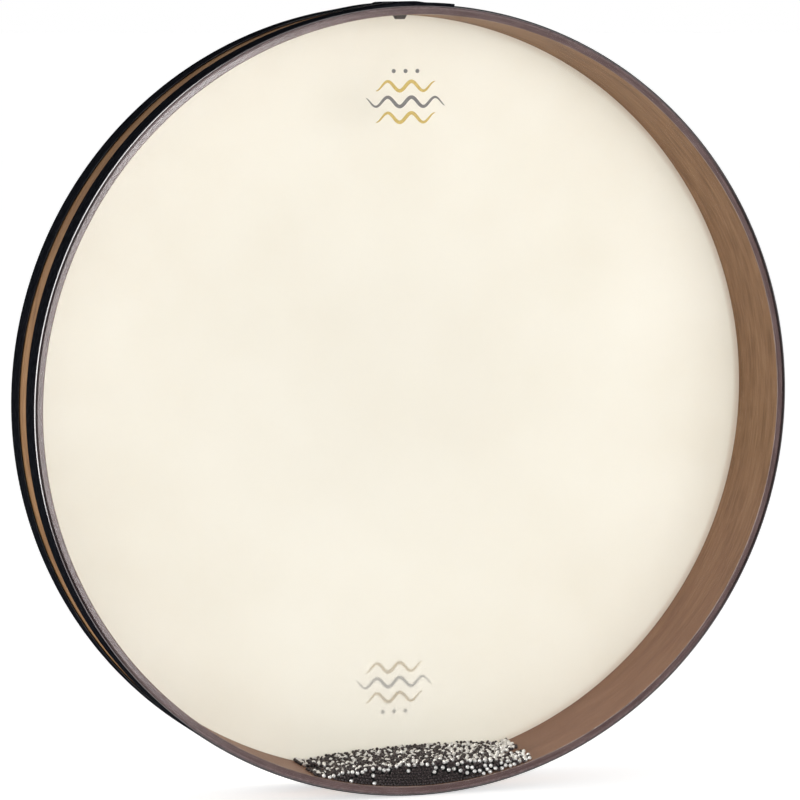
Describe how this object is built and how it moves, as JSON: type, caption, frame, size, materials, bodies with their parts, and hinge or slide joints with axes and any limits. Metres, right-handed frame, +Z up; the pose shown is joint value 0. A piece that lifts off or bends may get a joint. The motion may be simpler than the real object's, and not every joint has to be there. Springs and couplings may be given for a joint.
{
  "type": "ocean drum",
  "caption": "Double-headed ocean drum: a shallow bent-wood hoop with a clear head and a cream skin head, black ribbons round both edges, and loose balls that roll inside.",
  "frame": {"origin": "middle of the drum, on its axis and half-way between the two heads", "axes": "+Y along the drum's axis from the clear front head to the skin rear head, +Z up with the drum standing on its rim and the balls at the bottom, +X to the right seen from the front"},
  "size_m": [0.562, 0.0706, 0.5643],
  "materials": {
    "stained_wood": "satin",
    "inner_wood": "satin",
    "glue": "satin",
    "clear_film": "gloss",
    "cream_skin": "matte",
    "black_ribbon": "woven",
    "dark_rubber": "matte",
    "dark_ball": "gloss",
    "bright_ball": "polished"
  },
  "bodies": {
    "drum": {"shell_outer_ply": "stained_wood", "shell_core_ply": "stained_wood", "shell_inner_ply": "inner_wood", "front_glue_line": "glue", "rear_glue_line": "glue", "clear_front_head": "clear_film", "skin_rear_head": "cream_skin", "front_ribbon": "black_ribbon", "rear_ribbon": "black_ribbon", "filler_plug": "dark_rubber"},
    "ball_charge": {"ball_bed": "dark_ball", "dark_balls": "dark_ball", "bright_balls": "bright_ball"}
  },
  "joints": [
    {"name": "balls_roll", "type": "hinge", "parent": "drum", "child": "ball_charge", "pos_m": [0, 0, 0], "axis": [0, 1, 0], "continuous": true}
  ]
}
